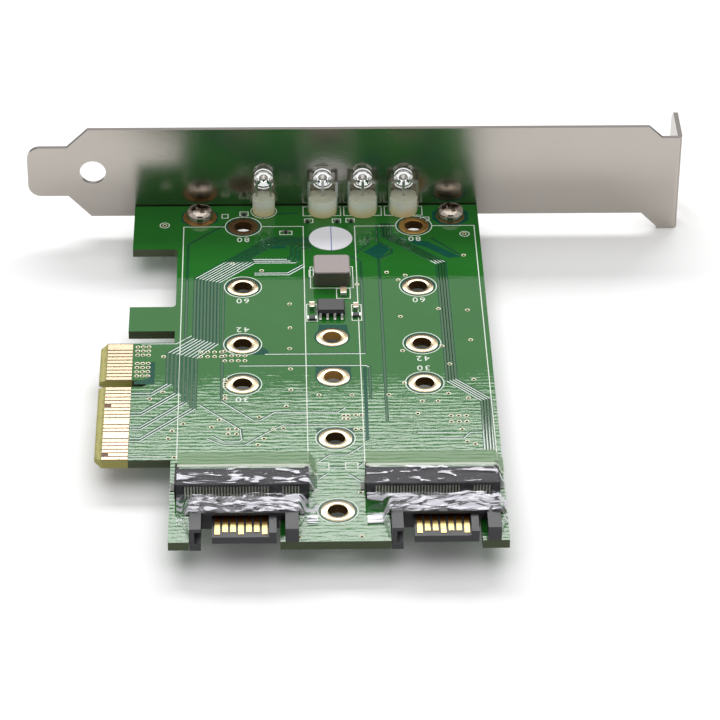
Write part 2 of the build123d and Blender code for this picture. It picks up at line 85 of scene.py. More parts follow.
# The contact tongue has no mask left of and in front of this corner.
bare_tongue = (5.6, 13.0)
mask, tree, shader = new_finish("semi_gloss_solder_mask", {"IOR": 1.5})
place = add(tree, "ShaderNodeTexCoord").outputs["Object"]
normal = add(tree, "ShaderNodeNewGeometry").outputs["Normal"]
upward = add(tree, "ShaderNodeSeparateXYZ", {0: normal}).outputs[2]
upright = add(tree, "ShaderNodeMath", {0: upward}, operation="ABSOLUTE").outputs[0]
level = add(tree, "ShaderNodeMath", {0: upright, 1: 0.985}, operation="GREATER_THAN").outputs[0]
patches = add(tree, "ShaderNodeTexNoise",
              {"Vector": place, "Scale": 1 / (14 * MM), "Detail": 3.0}).outputs["Fac"]
rows = add(tree, "ShaderNodeTexWave", {"Vector": place, "Scale": math.pi / 10 / (weave_pitch * MM),
                                       "Distortion": 2.5, "Detail": 2.0, "Detail Scale": 0.35},
           wave_type="BANDS", bands_direction="Y").outputs["Fac"]
drawn = add(tree, "ShaderNodeMapping", {"Vector": place, "Scale": (0.2, 1.0, 1.0)}).outputs[0]
knuckles = add(tree, "ShaderNodeTexNoise",
               {"Vector": drawn, "Scale": 1 / (knuckle_size * MM), "Detail": 3.0}).outputs["Fac"]
cloth = add(tree, "ShaderNodeMath", {0: rows, 1: 0.16, 2: knuckles}, operation="MULTIPLY_ADD").outputs[0]
mask_tone = add(tree, "ShaderNodeMix", {0: patches, 6: linear("#1c611d"), 7: linear("#277029")},
                data_type="RGBA").outputs[2]
plies = add(tree, "ShaderNodeTexWave", {"Vector": place, "Scale": math.pi / 10 / (ply_pitch * MM),
                                        "Distortion": 3.0},
            wave_type="BANDS", bands_direction="Z").outputs["Fac"]
parts = add(tree, "ShaderNodeSeparateXYZ", {0: place}).outputs
outer = add(tree, "ShaderNodeMath", {0: parts[0], 1: bare_tongue[0] * MM}, operation="LESS_THAN").outputs[0]
tongue = add(tree, "ShaderNodeMath", {0: parts[1], 1: bare_tongue[1] * MM}, operation="LESS_THAN").outputs[0]
bare = add(tree, "ShaderNodeMath", {0: outer, 1: tongue}, operation="MULTIPLY").outputs[0]
routed = add(tree, "ShaderNodeMix", {0: plies, 6: linear("#2c3820"), 7: linear("#454f2d")},
             data_type="RGBA").outputs[2]
bevelled = add(tree, "ShaderNodeMix", {0: plies, 6: linear("#8a8640"), 7: linear("#a8a25c")},
               data_type="RGBA").outputs[2]
resin = add(tree, "ShaderNodeMix", {0: knuckles, 6: linear("#4a2c1a"), 7: linear("#6e4a30")},
            data_type="RGBA").outputs[2]
side_tone = add(tree, "ShaderNodeMix", {0: bare, 6: routed, 7: bevelled}, data_type="RGBA").outputs[2]
face_tone = add(tree, "ShaderNodeMix", {0: bare, 6: mask_tone, 7: resin}, data_type="RGBA").outputs[2]
tone = add(tree, "ShaderNodeMix", {0: level, 6: side_tone, 7: face_tone}, data_type="RGBA").outputs[2]
tree.links.new(tone, shader.inputs["Base Color"])
gloss = add(tree, "ShaderNodeMapRange", {"Value": patches, "To Min": 0.032, "To Max": 0.048}).outputs[0]
worn = add(tree, "ShaderNodeMix", {0: bare, 2: gloss, 3: 0.6}).outputs[0]
rough = add(tree, "ShaderNodeMix", {0: level, 2: 0.6, 3: worn}).outputs[0]
tree.links.new(rough, shader.inputs["Roughness"])
# The cloth's relief grows towards the front, where the photograph's glare breaks up most.
relief = add(tree, "ShaderNodeMapRange", {"Value": parts[1], "From Min": 4 * MM, "From Max": -16 * MM,
                                          "To Min": 0.006 * MM, "To Max": 0.042 * MM}).outputs[0]
bump = add(tree, "ShaderNodeBump", {"Strength": 1.0, "Distance": relief, "Height": cloth}).outputs[0]
tree.links.new(bump, shader.inputs["Normal"])
dress(mask, "circuit_board")


# Copper runs under the mask: narrow etched lines, each a low ridge in the mask with a dark channel of bare
# laminate on both sides. Wider dark patches show where the copper is etched away. The sloping sides of the
# ridges face the soft light and glint.
def offset_run(points, shift):
    """The line beside a run of points, shift to its left, with its corners kept."""
    run = [Vector(p) for p in points]
    beside = []
    for i, point in enumerate(run):
        before = (run[i] - run[i - 1]).normalized() if i else (run[1] - run[0]).normalized()
        after = (run[i + 1] - run[i]).normalized() if i < len(run) - 1 else before
        corner = (before + after).normalized()
        beside.append(point + Vector((-corner.y, corner.x)) * shift / max(corner.dot(before), 0.3))
    return [tuple(p) for p in beside]


def firm_corners(run, beside=0.08):
    """The run with a point just before and after each corner, where the ridge keeps its section."""
    points = [Vector(p) for p in run]
    held = [points[0]]
    for before, corner, after in zip(points, points[1:], points[2:]):
        back, on = (before - corner).normalized(), (after - corner).normalized()
        held += [corner + back * beside, corner, corner + on * beside]
    return [tuple(p) for p in held + points[-1:]]


def pick(*objects):
    """Selects these objects alone and makes the first one active."""
    bpy.ops.object.select_all(action="DESELECT")
    for obj in objects:
        obj.select_set(True)
    bpy.context.view_layer.objects.active = objects[0]


def trace(curve, points, closed=True):
    """Adds a line through points in millimetres to a curve."""
    line = curve.splines.new("POLY")
    line.points.add(len(points) - 1)
    for point, (x, y) in zip(line.points, points):
        point.co = (x * MM, y * MM, 0, 1)
    line.use_cyclic_u = closed


def flat_curve(name):
    """A new flat curve and its object in the scene."""
    curve = bpy.data.curves.new(name, "CURVE")
    curve.dimensions = "2D"
    made = bpy.data.objects.new(name, curve)
    bpy.context.scene.collection.objects.link(made)
    return curve, made


def ridges(name, runs, width, height, slope, material):
    """Low ridges with sloping sides along runs of points on the board, in millimetres, as one mesh."""
    half = width / 2
    foot = -0.01
    edge, profile = flat_curve(name + "_edge")
    trace(edge, [(-half, foot), (-half, 0), (-half + slope, height), (half - slope, height), (half, 0),
                 (half, foot)])
    paths, made = flat_curve(name)
    paths.bevel_mode = "OBJECT"
    paths.bevel_object = profile
    paths.use_fill_caps = True
    for run in runs:
        closed = run[0] == run[-1]
        trace(paths, run[:-1] if closed else firm_corners(run), closed)
    pick(made)
    bpy.ops.object.convert(target="MESH")
    bpy.ops.object.shade_flat()
    bpy.data.objects.remove(profile)
    settle(made, name, material)


def flat_patches(name, outlines, thick, material):
    """Thin flat patches on the board, with their corners in millimetres, as one mesh."""
    shape, made = flat_curve(name)
    shape.fill_mode = "BOTH"
    shape.extrude = thick / 2 * MM
    for outline in outlines:
        trace(shape, outline)
    made.location.z = thick / 2 * MM
    pick(made)
    bpy.ops.object.convert(target="MESH")
    settle(made, name, material)


def settle(made, name, material):
    """Finishes a piece: its place goes into its mesh, its faces point out, and it rides on the card."""
    pick(made)
    bpy.ops.object.transform_apply(location=True, rotation=True, scale=True)
    bpy.ops.object.mode_set(mode="EDIT")
    bpy.ops.mesh.select_all(action="SELECT")
    bpy.ops.mesh.remove_doubles(threshold=0.0005 * MM)
    bpy.ops.mesh.normals_make_consistent(inside=False)
    bpy.ops.object.mode_set(mode="OBJECT")
    made.name = name
    made.data.name = name
    made.data.materials.clear()
    made.data.materials.append(material)
    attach(made, "root")


def mottled(name, values, grain, detail, tones, rough=None, relief=None, stretch=None):
    """A finish that follows one noise with grains of a size in millimetres: two tones and, where they are
    given, a range of roughness, and the strength and depth in millimetres of a relief."""
    material, tree, shader = new_finish(name, values)
    place = add(tree, "ShaderNodeTexCoord").outputs["Object"]
    if stretch:
        place = add(tree, "ShaderNodeMapping", {"Vector": place, "Scale": stretch}).outputs[0]
    mottle = add(tree, "ShaderNodeTexNoise",
                 {"Vector": place, "Scale": 1 / (grain * MM), "Detail": detail}).outputs["Fac"]
    tone = add(tree, "ShaderNodeMix", {0: mottle, 6: linear(tones[0]), 7: linear(tones[1])},
               data_type="RGBA").outputs[2]
    tree.links.new(tone, shader.inputs["Base Color"])
    if rough:
        spread = add(tree, "ShaderNodeMapRange", {"Value": mottle, "To Min": rough[0], "To Max": rough[1]})
        tree.links.new(spread.outputs[0], shader.inputs["Roughness"])
    if relief:
        bump = add(tree, "ShaderNodeBump",
                   {"Strength": relief[0], "Distance": relief[1] * MM, "Height": mottle})
        tree.links.new(bump.outputs[0], shader.inputs["Normal"])
    return material


# Mask straight on the laminate: darker and bluer, with little shine.
channel = mottled("mask_over_bare_laminate", {"IOR": 1.5, "Roughness": 0.12, "Specular IOR Level": 0.1},
                  grain=1.5, detail=5.0, tones=("#0f4636", "#185545"), relief=(0.3, 0.005))
# Mask over copper: a clear, smooth and strongly mirroring dark green.
copper_run = mottled("mask_over_copper_run", {"IOR": 1.8, "Roughness": 0.05},
                     grain=2.5, detail=4.0, tones=("#164f1c", "#205a22"), relief=(0.2, 0.004))

left_pitch = 0.6
runs = []
for i in range(8):
    x = 16.05 + left_pitch * i
    top = 32.5 - 0.2 * i
    knee = 13.6 - 0.25 * i
    low_x = x - 4.4 + 0.1 * i
    start = [(low_x, knee - 4.4), (x, knee), (x, top)]
    if i < 5:
        high = 45.8 - left_pitch * i
        runs.append(start + [(x + high - top, high), (36.8, high)])
    else:
        high = 38.7 - left_pitch * (i - 5)
        turn = 32.4 + 0.7 * (i - 5)
        rise = 43.6 - 0.7 * (i - 5)
        runs.append(start + [(x + high - top, high), (turn, high), (turn + 0.9, high + 0.9),
                             (turn + 0.9, rise - 0.8), (turn + 1.7, rise), (37.0, rise)])
finger_root = 5.6
finger_ends = (-2.8, -3.6, -8.5, -9.3, -12.6, -13.4, -15.9, -16.7)
for i, (run, end) in enumerate(zip(runs, finger_ends)):
    low_x = run[0][0]
    drop = low_x - 9.0 if i < 2 else low_x - 7.4
    bend = end + max(drop, 0.5)
    runs[i] = [(finger_root, end), (low_x - (bend - end), end), (low_x, bend)] + run
pair = [(26.6, 33.9), (32.6, 33.9), (35.4, 36.6)]
runs += [offset_run(pair, 0.3), offset_run(pair, -0.3)]
right_line = [(50.6, 50.5), (50.6, 46.5), (60.2, 37.2), (60.4, 0.4), (66.0, -5.4), (65.8, -19.9)]
runs += [offset_run(right_line, 0.5 * (i - 1.5)) for i in range(4)]
singles = [[(48.9, 50.0), (48.9, 44.4), (51.4, 42.0), (51.4, 40.5), (49.0, 38.3), (49.0, -11.5)],
           [(44.0, 39.6), (45.7, 37.6), (45.7, 8.6), (34.4, 8.6), (28.4, 8.6)],
           [(46.4, -5.0), (46.4, 4.5), (45.9, 5.0), (24.0, 5.1)],
           [(14.6, 12.0), (14.6, 43.7), (21.0, 50.1), (27.4, 53.6)],
           [(21.1, 31.0), (21.0, -5.4), (26.6, -11.2), (27.5, -11.1), (30.0, -8.7), (40.6, -8.9),
            (41.9, -7.6)],
           [(17.3, -6.4), (24.3, -13.7), (24.5, -16.3), (24.1, -16.9), (21.6, -17.1), (19.5, -15.4)],
           [(18.7, -16.2), (21.4, -18.0), (25.0, -18.0), (28.3, -14.9), (31.5, -12.3), (41.8, -12.3)],
           [(37.3, -22.8), (39.1, -21.0), (42.1, -21.0), (44.7, -18.4)], [(38.7, -24.5), (41.9, -24.5)],
           [(37.2, -27.6), (38.6, -26.2)], [(42.1, -26.3), (44.0, -28.3)], [(43.7, -24.6), (44.8, -23.1)],
           [(57.6, -16.5), (61.6, -16.5), (62.8, -14.9), (65.0, -14.8)], [(54.0, -14.8), (59.5, -14.8)],
           [(7.0, 12.0), (13.0, 12.0), (15.6, 14.4)], [(5.6, -21.0), (12.0, -21.0)],
           [(28.0, 52.4), (30.6, 54.0), (34.6, 54.1)], [(44.9, 40.6), (47.2, 43.4), (47.2, 46.0)],
           [(58.8, 45.4), (63.9, 39.6)]]
dark_places = [[(37.9, 17.6), (42.8, 17.5), (43.2, 13.8), (41.8, 11.0), (38.7, 11.1), (37.4, 13.2)],
               [(37.1, 4.7), (43.2, 4.6), (43.1, 0.8), (41.6, -1.2), (38.7, -1.1), (37.1, 1.0)],
               [(37.0, -13.3), (43.3, -13.3), (43.3, -17.2), (41.6, -19.3), (38.7, -19.3), (37.0, -17.5)],
               [(46.3, 40.9), (49.4, 44.0), (50.6, 43.0), (51.0, 41.4), (49.0, 38.4)],
               [(52.6, 46.8), (54.3, 45.2), (58.1, 44.2), (63.9, 39.1), (61.7, 38.7), (57.9, 42.2),
                (55.6, 43.4)],
               [(26.2, 43.1), (32.4, 43.0), (32.4, 42.2), (26.9, 42.2), (26.2, 39.3)],
               [(45.3, 4.4), (45.9, 4.4), (45.8, -17.0), (45.2, -17.0)],
               [(25.0, 8.4), (29.0, 8.4), (29.0, 9.6), (27.6, 11.2)],
               [(8.3, 6.4), (9.5, 6.4), (9.5, -0.2), (6.0, -0.2), (6.0, 0.6), (8.3, 1.4)]]
columns = (24.55, 40.15, 55.75)
middle_rows = (13.67, 1.67, -16.33, -36.33)
hole_patch = 1.8
turns = [2 * math.pi * i / 32 for i in range(32)]
dark_places += [[(columns[1] + hole_patch * math.cos(a), y + hole_patch * math.sin(a)) for a in turns]
                for y in middle_rows[:3]]
flat_patches("bare_laminate_patches", dark_places, thick=0.002, material=channel)
ridges("etched_channels", runs, width=0.62, height=0.003, slope=0.02,
       material=channel)
ridges("copper_runs", runs, width=0.42, height=0.0175, slope=0.205,
       material=copper_run)
ridges("single_channels", singles, width=0.56, height=0.003, slope=0.02,
       material=channel)
ridges("single_runs", singles, width=0.4, height=0.0165, slope=0.195,
       material=copper_run)

# Plated through vias: drilled and plated holes that tie the board's two faces together, each in a small ring
# of copper under the mask. The rings are pale, partly from the copper and partly a painted glint off their
# rims, with a soft shine, and the shallow holes are painted near black as painted shade.
via_places = ((50.3, 34.1), (53.6, 33.1), (52.3, 31.6), (52.3, 19.9), (59.1, 22.3), (64.2, 21.8),
              (64.3, 12.5), (52.3, 9.3), (59.2, 10.7), (64.2, 0.5), (52.3, -0.4), (49.5, -3.8),
              (43.2, -3.8), (37.6, -3.8), (59.7, -3.6), (57.8, -5.8), (55.1, -5.8), (54.2, -9.4),
              (32.8, 24.1), (32.8, 16.6), (32.7, 10.2), (32.8, 4.0), (32.8, -2.2), (59.8, -10.1),
              (61.1, -10.1), (62.4, -10.1), (59.8, -11.8), (61.1, -11.8), (62.4, -11.8), (63.0, -5.0),
              (61.5, -14.0), (62.2, -17.5), (63.5, -18.2), (32.0, -7.0), (20.7, -10.8), (19.4, -12.9),
              (22.2, -13.5), (23.6, -13.5), (22.2, -14.9), (23.6, -14.9), (29.8, -13.7), (28.2, -16.3),
              (27.2, -18.0), (27.4, -10.1), (31.5, -13.4), (13.3, -21.4), (12.2, -16.1), (12.8, -13.9),
              (14.6, -11.9), (41.7, -9.8), (42.4, -9.8), (41.7, -10.8), (42.4, -10.8), (43.7, -9.7),
              (44.6, -9.7), (43.6, -13.8), (44.5, -13.8), (33.8, -43.2), (43.9, -43.2), (44.0, -31.5),
              (22.6, 37.2), (27.9, 34.9), (10.2, 50.2), (64.9, 46.8), (44.9, 30.2), (60.3, 5.2),
              (10.9, 8.0), (64.4, 39.6), (11.0, -2.6), (8.8, -4.6))
via_rows = [(21.5 + 1.15 * i, 9.6 - 1.5 * j) for i in range(4) for j in range(3)]
via_rows += [(17.3 + 1.2 * i, 9.3 - 1.4 * j) for i in range(4) for j in range(2)]
via_rows += [(21.6, 0.9), (21.6, -0.2), (21.6, -1.3), (21.6, -3.8), (21.6, -4.8)]
via_rows += [(6.4 + 0.95 * i, 11.0 - 1.25 * j) for i in range(3) for j in range(8) if j != 3]

# The rings' pale tones hold a painted glint, and the holes' near-black tones are painted shade.
via_ring_with_glint = mottled("tented_copper_ring_painted_glint", {"IOR": 1.5, "Roughness": 0.25},
                    grain=0.8, detail=3.0, tones=("#c4c69a", "#ece4c6"))
via_hole_shade = mottled("via_hole_painted_shade", {"Roughness": 0.5, "Specular IOR Level": 0.1},
                   grain=0.3, detail=3.0, tones=("#0c0a08", "#1e1710"))


def copies(first, places, name):
    """Copies of a piece, each with its own mesh, put at places in millimetres and joined into one."""
    made = []
    for x, y, z in places:
        copy = first.copy()
        copy.data = first.data.copy()
        bpy.context.scene.collection.objects.link(copy)
        copy.location = (x * MM, y * MM, z * MM)
        made.append(copy)
    bpy.data.objects.remove(first)
    pick(*made)
    bpy.ops.object.join()
    made[0].name = name
    return made[0]


def select_none(obj):
    """Leaves edit mode with no point, edge or face of a mesh selected."""
    bpy.ops.object.mode_set(mode="OBJECT")
    for part in (obj.data.vertices, obj.data.edges, obj.data.polygons):
        part.foreach_set("select", [False] * len(part))


def select_where(obj, test):
    """Selects the faces whose middles and normals pass a test, in edit mode."""
    select_none(obj)
    for face in obj.data.polygons:
        face.select = test(face.center, face.normal)
    bpy.ops.object.mode_set(mode="EDIT")
    bpy.ops.mesh.select_mode(type="FACE")


via_height = 0.03
bpy.ops.mesh.primitive_cylinder_add(vertices=16, radius=0.42 * MM, depth=via_height * MM,
                                    location=(0, 0, via_height / 2 * MM))
via = bpy.context.object
bpy.ops.object.transform_apply(location=True)
select_where(via, lambda middle, normal: normal.z > 0.9)
ring_width, hole_depth = 0.17, 0.024
bpy.ops.mesh.inset(thickness=ring_width * MM)
bpy.ops.transform.translate(value=(0, 0, -hole_depth * MM))
bpy.ops.object.mode_set(mode="OBJECT")
via_rings = copies(via, [(x, y, 0) for x, y in via_places + tuple(via_rows)], "via_rings")
settle(via_rings, "via_rings", via_ring_with_glint)
via_rings.data.materials.append(via_hole_shade)
for face in via_rings.data.polygons:
    face.material_index = int(face.normal.z > 0.9 and 0.001 * MM < face.center.z < 0.01 * MM)

# Silk screen: thin matt white ink, printed over the mask, for the drive bays' outlines, the boxes of the
# parts, the rings of the screw holes and the lengths beside them. Its worn spots are greyer.
silk = mottled("matt_white_silk_ink", {"IOR": 1.45, "Roughness": 0.55},
               grain=0.5, detail=4.0, tones=("#c9d3c4", "#f2f4ee"), relief=(0.3, 0.01))


def ring(x, y, radius, sides=48):
    """A closed run of points round a circle."""
    turn = [2 * math.pi * i / sides for i in range(sides)]
    points = [(x + radius * math.cos(a), y + radius * math.sin(a)) for a in turn]
    return points + points[:1]


def box_run(x, y, wide, rear_painted_shadow):
    """A closed run round a rectangle."""
    corners = [(x - wide / 2, y - rear_painted_shadow / 2), (x + wide / 2, y - rear_painted_shadow / 2),
               (x + wide / 2, y + rear_painted_shadow / 2), (x - wide / 2, y + rear_painted_shadow / 2)]
    return corners + corners[:1]


side_rows = (49.62, 29.62, 11.62, -0.38)
screw_holes = [(x, y) for x in (columns[0], columns[2]) for y in side_rows]
screw_holes += [(columns[1], y) for y in middle_rows]
silk_runs = [[(13.7, -22.0), (13.7, 49.6), (21.3, 49.6)], [(27.8, 49.6), (35.5, 49.6), (35.5, -24.0)],
             [(44.9, -24.0), (44.9, 49.6), (52.5, 49.6)], [(59.0, 49.6), (66.8, 49.6), (66.9, -24.0)]]
silk_runs += [ring(x, y, 3.3) for x, y in screw_holes if x != columns[1] or y not in middle_rows[:2]]
silk_runs += [ring(28.3, 54.85, 2.35), ring(15.84, -40.3, 0.6), ring(64.94, 46.76, 0.85),
              ring(10.2, 50.2, 0.85)]
silk_runs += [box_run(x, 54.75, 6.9, 3.1) for x in (39.0, 46.5, 54.0)]
part_boxes = ((24.68, 54.03, 1.5, 1.3), (36.55, 51.5, 1.5, 1.3), (41.64, 51.44, 1.5, 1.3),
              (44.14, 51.58, 1.5, 1.3), (32.32, 47.44, 2.2, 1.2), (36.75, 21.3, 1.9, 5.4),
              (37.9, -24.1, 2.0, 1.9), (42.7, -24.1, 2.0, 1.9), (36.9, 33.9, 1.0, 2.2),
              (57.9, 51.9, 1.5, 1.3), (21.2, 53.2, 1.1, 1.3), (40.4, 32.6, 7.6, 6.9),
              (42.4, 27.4, 2.4, 3.2), (44.6, 21.3, 1.7, 5.0))
silk_runs += [box_run(*box) for box in part_boxes]
ridges("silk_lines", silk_runs, width=0.17, height=0.014, slope=0.01,
       material=silk)

labels = []
for x in (columns[0], columns[2]):
    for length, y, offset in ((80, side_rows[0], -4.35), (60, side_rows[1], -4.35), (42, side_rows[2], 4.6),
                              (30, side_rows[3], -4.5)):
        if x == columns[2] and length in (42, 30):
            offset = -offset
        bpy.ops.object.text_add(location=(x * MM, (y + offset) * MM, 0.0), rotation=(0, 0, math.pi))
        words = bpy.context.object
        words.data.body = str(length)
        words.data.size = 2.1 * MM
        words.data.space_character = 1.25
        words.data.align_x = "CENTER"
        words.data.align_y = "CENTER"
        words.data.extrude = 0.012 * MM
        bpy.ops.object.convert(target="MESH")
        labels.append(bpy.context.object)
pick(*labels)
bpy.ops.object.join()
settle(labels[0], "hole_lengths", silk)

# Edge contacts: bright gold over nickel, plated on copper. Fine rub marks along them soften their shine. The
# mask stays clear of the eight-sided pads under the bracket screws, which leaves a dark rim.
gold = mottled("bright_gold_plating", {"Metallic": 1.0},
               grain=0.25, detail=4.0, tones=("#a18f71", "#ada08a"),
               rough=(0.14, 0.26), relief=(0.2, 0.003), stretch=(0.15, 1.0, 1.0))
dress(gold, "edge_contacts_top", "edge_contacts_bottom")
screw_places = ((16.6, 52.85), (62.6, 52.85))
rim_radius = 3.6
eighths = [math.pi * (i + 0.5) / 4 for i in range(8)]
flat_patches("screw_pad_clearances", [[(x + rim_radius * math.cos(a), y + rim_radius * math.sin(a))
                                       for a in eighths] for x, y in screw_places],
             thick=0.002, material=channel)

# Drive screw holes: a gold-plated barrel through the board with a flat pad at both ends, in one piece. The
# plating inside is thin and painted dark brown as painted shade, and painted bright gold in the two middle
# holes next to the chip as painted light from below.
shaded_wall = mottled("hole_plating_painted_shade", {"Metallic": 0.6},
                      grain=0.8, detail=4.0, tones=("#3a2810", "#66491f"), rough=(0.4, 0.6))
lit_wall = mottled("hole_plating_painted_light", {"Metallic": 0.35},
                   grain=0.8, detail=4.0, tones=("#b38a48", "#dcb470"), rough=(0.3, 0.5))
bore_radius, board_thickness, proud = 1.66, 1.6, 0.02
bpy.ops.mesh.primitive_cylinder_add(vertices=64, radius=bore_radius * MM, end_fill_type="NOTHING",
                                    depth=(board_thickness + 2 * proud) * MM,
                                    location=(0, 0, -board_thickness / 2 * MM))
barrel = bpy.context.object
bpy.ops.object.transform_apply(location=True)
bpy.ops.object.mode_set(mode="EDIT")
for end in (1, -1):
    bpy.ops.mesh.select_mode(type="EDGE")
    select_none(barrel)
    rim = (proud if end > 0 else -board_thickness - proud) * MM
    for edge in barrel.data.edges:
        ends = [barrel.data.vertices[i].co for i in edge.vertices]
        edge.select = all(abs(p.z - rim) < 0.001 * MM for p in ends)
    bpy.ops.object.mode_set(mode="EDIT")
    for size, rise in ((1.02, 0.015), (1.62, 0.0), (1.02, -0.03)):
        bpy.ops.mesh.extrude_region_move(TRANSFORM_OT_translate={"value": (0, 0, end * rise * MM)})
        bpy.ops.transform.resize(value=(size, size, 1))
bpy.ops.object.mode_set(mode="OBJECT")
brass_pad = mottled("aged_gold_screw_pad", {"Metallic": 0.8},
                    grain=1.1, detail=5.0, tones=("#7d5a2a", "#b9924f"), rough=(0.25, 0.45))
dress(brass_pad, "screw_pads")
barrels = copies(barrel, [(x, y, 0) for x, y in screw_holes], "plated_screw_holes")
settle(barrels, "plated_screw_holes", gold)
for finish in (shaded_wall, lit_wall, brass_pad):
    barrels.data.materials.append(finish)
# The pads of the two holes next to the bracket are darker too: the right one aged gold, the left one in the
# walls' painted shade.
# Walls next to the chip get the painted light, and the other walls the painted shade.
for face in barrels.data.polygons:
    if abs(face.normal.z) < 0.3:
        lit = abs(face.center.x - columns[1] * MM) < 3 * MM and face.center.y > -2 * MM
        face.material_index = 2 if lit else 1
    elif face.center.y > 45 * MM:
        face.material_index = 3 if face.center.x > 40 * MM else 1
bpy.ops.object.shade_smooth_by_angle(angle=math.radians(30))
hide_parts("hole_plating")

# Clearance round the pads of the screw holes: a thin ring etched free of copper, which keeps the runs away
# from the screws. It is bare laminate, dark under the mask.
ridges("pad_clearances", [ring(x, y, 2.95) for x, y in screw_holes], width=0.4, height=0.003, slope=0.02,
       material=channel)

# Slot bracket: one piece of mild steel sheet, blanked, bent and satin nickel plated. The rolled grain runs
# along it and blurs what it mirrors. Its blanked edges are dull and dark, and its bent tab, which faces
# sideways, is painted a little darker as painted shade.
steel, tree, shader = new_finish("satin_nickel_plated_steel", {"Metallic": 1.0})
place = add(tree, "ShaderNodeTexCoord").outputs["Object"]
stretched = add(tree, "ShaderNodeMapping", {"Vector": place, "Scale": (0.35, 1.0, 1.0)}).outputs[0]
grain = add(tree, "ShaderNodeTexNoise",
            {"Vector": stretched, "Scale": 1 / (0.5 * MM), "Detail": 4.0}).outputs["Fac"]
clouds = add(tree, "ShaderNodeTexNoise",
             {"Vector": place, "Scale": 1 / (12 * MM), "Detail": 3.0}).outputs["Fac"]
sheet_tone = add(tree, "ShaderNodeMix", {0: clouds, 6: linear("#b1aaa3"), 7: linear("#bab4ad")},
                 data_type="RGBA").outputs[2]
normal = add(tree, "ShaderNodeNewGeometry").outputs["Normal"]
face_out = add(tree, "ShaderNodeSeparateXYZ", {0: normal}).outputs
upright = add(tree, "ShaderNodeMath", {0: face_out[2]}, operation="ABSOLUTE").outputs[0]
cut = add(tree, "ShaderNodeMath", {0: upright, 1: 0.6}, operation="GREATER_THAN").outputs[0]
sideways = add(tree, "ShaderNodeMath", {0: face_out[0]}, operation="ABSOLUTE").outputs[0]
folded = add(tree, "ShaderNodeMath", {0: sideways, 1: 0.6}, operation="GREATER_THAN").outputs[0]
# Faces turned sideways, such as the bent tab, get a painted shade.
tab_painted_shade_tone = add(tree, "ShaderNodeMix", {0: folded, 6: sheet_tone, 7: linear("#989089")},
                data_type="RGBA").outputs[2]
tone = add(tree, "ShaderNodeMix", {0: cut, 6: tab_painted_shade_tone, 7: linear("#5a5653")}, data_type="RGBA").outputs[2]
tree.links.new(tone, shader.inputs["Base Color"])
smooth = add(tree, "ShaderNodeMapRange", {"Value": grain, "To Min": 0.17, "To Max": 0.25}).outputs[0]
rough = add(tree, "ShaderNodeMix", {0: cut, 2: smooth, 3: 0.4}).outputs[0]
tree.links.new(rough, shader.inputs["Roughness"])
bump = add(tree, "ShaderNodeBump", {"Strength": 1.0, "Distance": 0.009 * MM, "Height": grain}).outputs[0]
tree.links.new(bump, shader.inputs["Normal"])
dress(steel, "slot_bracket")

# Bracket screws: steel, pan head with a cross recess, bright nickel plated. They go down through the board's
# gold pads into the bracket's ears. Fine pits break up what they mirror.
nickel = mottled("bright_nickel_plating", {"Metallic": 1.0},
                 grain=0.4, detail=4.0, tones=("#7d746b", "#bdb3a8"), rough=(0.05, 0.14), relief=(0.3, 0.006))
head_radius, rim_height, shank_radius, shank_length = 2.4, 1.2, 1.25, 4.2
seat = 0.05
recess_turn = 0.35
bpy.ops.mesh.primitive_cylinder_add(vertices=48, radius=head_radius * MM, depth=rim_height * MM,
                                    location=(0, 0, (seat + rim_height / 2) * MM))
screw = bpy.context.object
bpy.ops.object.transform_apply(location=True)
select_where(screw, lambda middle, normal: normal.z > 0.9)
for inwards, rise in ((0.18, 0.34), (0.36, 0.28), (0.6, 0.2), (0.6, 0.08)):
    bpy.ops.mesh.inset(thickness=inwards * MM)
    bpy.ops.transform.translate(value=(0, 0, rise * MM))
select_where(screw, lambda middle, normal: normal.z < -0.9)
bpy.ops.mesh.inset(thickness=(head_radius - shank_radius) * MM)
bpy.ops.mesh.extrude_region_move(TRANSFORM_OT_translate={"value": (0, 0, -shank_length * MM)})
bpy.ops.mesh.extrude_region_move(TRANSFORM_OT_translate={"value": (0, 0, -0.35 * MM)})
bpy.ops.transform.resize(value=(0.75, 0.75, 1))
bpy.ops.object.mode_set(mode="OBJECT")
for turn in (0, math.pi / 2):
    bpy.ops.mesh.primitive_cube_add(size=1, location=(0, 0, 2.1 * MM), rotation=(0, 0, recess_turn + turn),
                                    scale=(3.3 * MM, 0.75 * MM, 1.4 * MM))
    cutter = bpy.context.object
    slot_cut = screw.modifiers.new("cross_recess", "BOOLEAN")
    slot_cut.operation = "DIFFERENCE"
    slot_cut.solver = "EXACT"
    slot_cut.object = cutter
    bpy.context.view_layer.objects.active = screw
    bpy.ops.object.modifier_apply(modifier=slot_cut.name)
    bpy.data.objects.remove(cutter)
screws = copies(screw, [(x, y, 0) for x, y in screw_places], "cross_recess_screws")
settle(screws, "cross_recess_screws", nickel)
bpy.ops.object.shade_smooth_by_angle(angle=math.radians(28))
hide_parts("bracket_screws")

